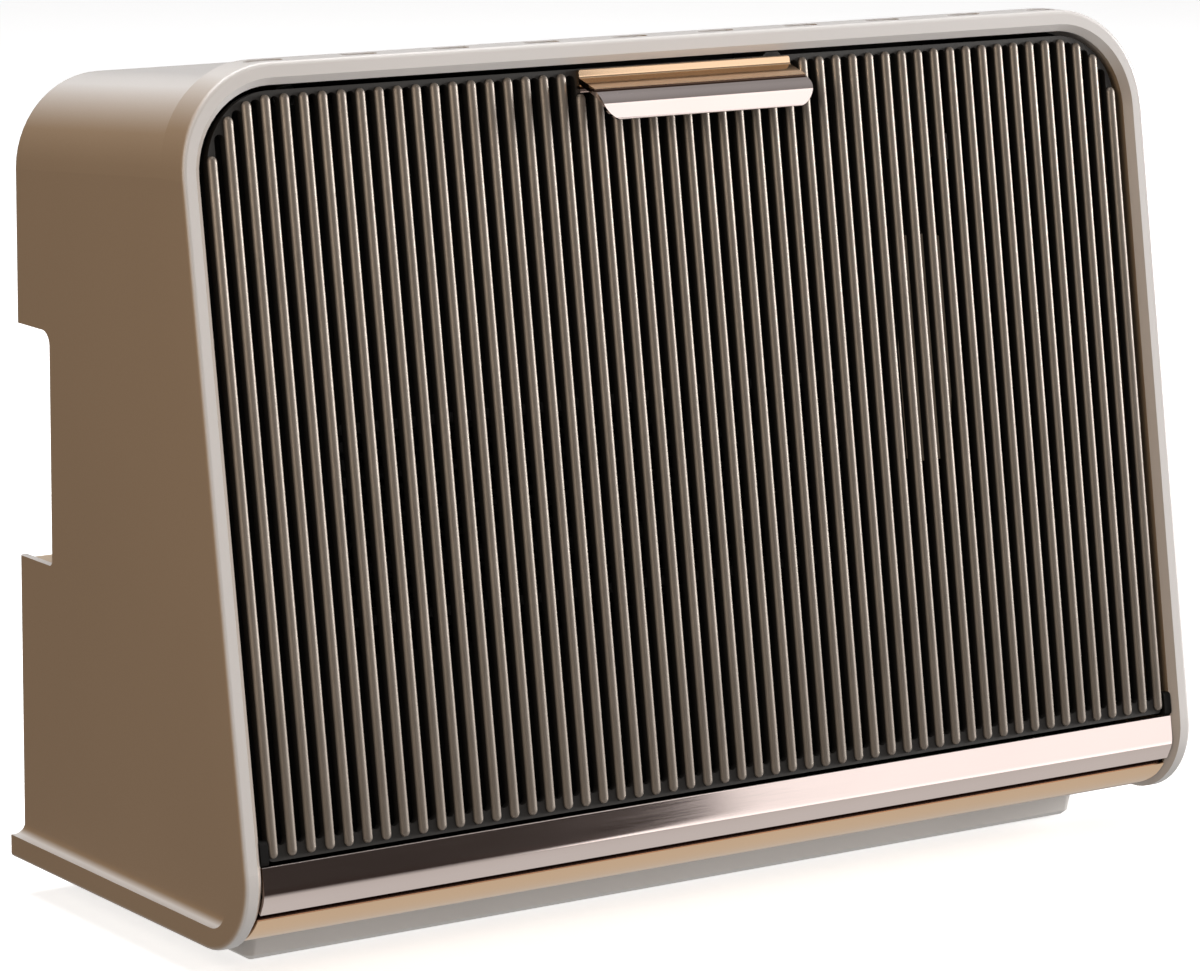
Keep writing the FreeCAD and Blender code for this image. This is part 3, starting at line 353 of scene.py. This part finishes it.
FLOOR_HALF = 60
LIGHTS_AIM = Vector((0, 0, 0.15))


def floor():
    """Wide pale ground; it neither lights the object nor shows in its polished parts."""
    half = FLOOR_HALF
    mesh = bpy.data.meshes.new("floor")
    corners = [(-half, -half, 0), (half, -half, 0), (half, half, 0), (-half, half, 0)]
    mesh.from_pydata(corners, [], [(0, 1, 2, 3)])
    mesh.materials.append(surface("studio_floor", (0.93, 0.93, 0.93), 0.7, grain=60, bump=0.01, vary=0.01,
                                  patch=2, shine=0.6))
    piece = bpy.data.objects.new("floor", mesh)
    piece.visible_diffuse = False
    piece.visible_glossy = False
    bpy.context.scene.collection.objects.link(piece)


def softbox(name, azimuth, elevation, distance, width, height, power, colour):
    """Area light that looks at the object; azimuth 0 is in front and 90 to the object's right."""
    light = bpy.data.lights.new(name, "AREA")
    light.shape = "RECTANGLE"
    light.size, light.size_y = width, height
    light.energy = power
    light.color = colour
    lamp = bpy.data.objects.new(name, light)
    bpy.context.scene.collection.objects.link(lamp)
    az, el = math.radians(azimuth), math.radians(elevation)
    away = Vector((math.sin(az) * math.cos(el), -math.cos(az) * math.cos(el), math.sin(el)))
    lamp.location = LIGHTS_AIM + away * distance
    lamp.rotation_mode = "QUATERNION"
    lamp.rotation_quaternion = away.to_track_quat("Z", "Y")


def world():
    """Soft surroundings: bright underfoot, dark near the horizon, brighter again overhead."""
    surroundings = bpy.data.worlds.new("studio")
    bpy.context.scene.world = surroundings
    nodes = Nodes(surroundings)
    direction = nodes.add("ShaderNodeTexCoord").outputs["Generated"]
    height = nodes.add("ShaderNodeSeparateXYZ", {"Vector": direction}).outputs["Z"]
    rise = nodes.span(height, 0, 1, -1, 1)
    tone = nodes.shades(rise, [(1.0, 0.98, 0.96), (0.9, 0.87, 0.84), (0.06, 0.045, 0.04), (0.06, 0.05, 0.045),
                               (0.32, 0.31, 0.3), (0.6, 0.6, 0.61)], [0.0, 0.25, 0.36, 0.55, 0.72, 1.0])
    light = nodes.add("ShaderNodeBackground", {"Color": tone, "Strength": 0.6})
    nodes.add("ShaderNodeOutputWorld", {"Surface": light.outputs["Background"]})


def lights():
    """Small hard key and a tall broad source on the right, a rear top light, and two weak fills."""
    world()
    softbox("key", 75, 7, 2.6, 0.6, 0.7, 62, (1.0, 0.985, 0.97))
    softbox("broad_right", 54.5, 3, 2.6, 2.0, 3.2, 22, (1.0, 0.965, 0.955))
    softbox("overhead", 180, 78, 2.2, 2.2, 1.6, 50, (1.0, 1.0, 1.0))
    softbox("fill_left", -62, 20, 1.6, 0.8, 0.8, 9, (1.0, 0.86, 0.72))
    softbox("low_front", 0, 3, 2.4, 1.4, 0.3, 3.5, (1.0, 0.99, 0.98))


CAMERA_DISTANCE = 1.753
SLIDE_LEFT = 0.02075
SLIDE_DOWN = 0.02132


def camera():
    """Long lens, from the object's left front and a little above it."""
    azimuth, elevation, roll = math.radians(34.55), math.radians(11.24), math.radians(0.52)
    target = Vector((0, -0.02466, 0.1625))
    forward = Vector((math.sin(azimuth) * math.cos(elevation), math.cos(azimuth) * math.cos(elevation),
                      -math.sin(elevation)))
    level = Vector((math.cos(azimuth), -math.sin(azimuth), 0))
    upright = level.cross(forward)
    right = level * math.cos(roll) + upright * math.sin(roll)
    up = upright * math.cos(roll) - level * math.sin(roll)
    lens = bpy.data.cameras.new("camera")
    lens.sensor_width = 36
    lens.lens = 151.4
    lens.clip_start, lens.clip_end = 0.05, 60
    eye = bpy.data.objects.new("camera", lens)
    bpy.context.scene.collection.objects.link(eye)
    place = target - forward * CAMERA_DISTANCE - right * SLIDE_LEFT - up * SLIDE_DOWN
    turn = Matrix((right, up, -forward)).transposed()
    eye.matrix_world = Matrix.Translation(place) @ turn.to_4x4()
    bpy.context.scene.camera = eye


bpy.context.scene.view_settings.view_transform = "Standard"
dress_cad()
reeds()
floor()
lights()
camera()
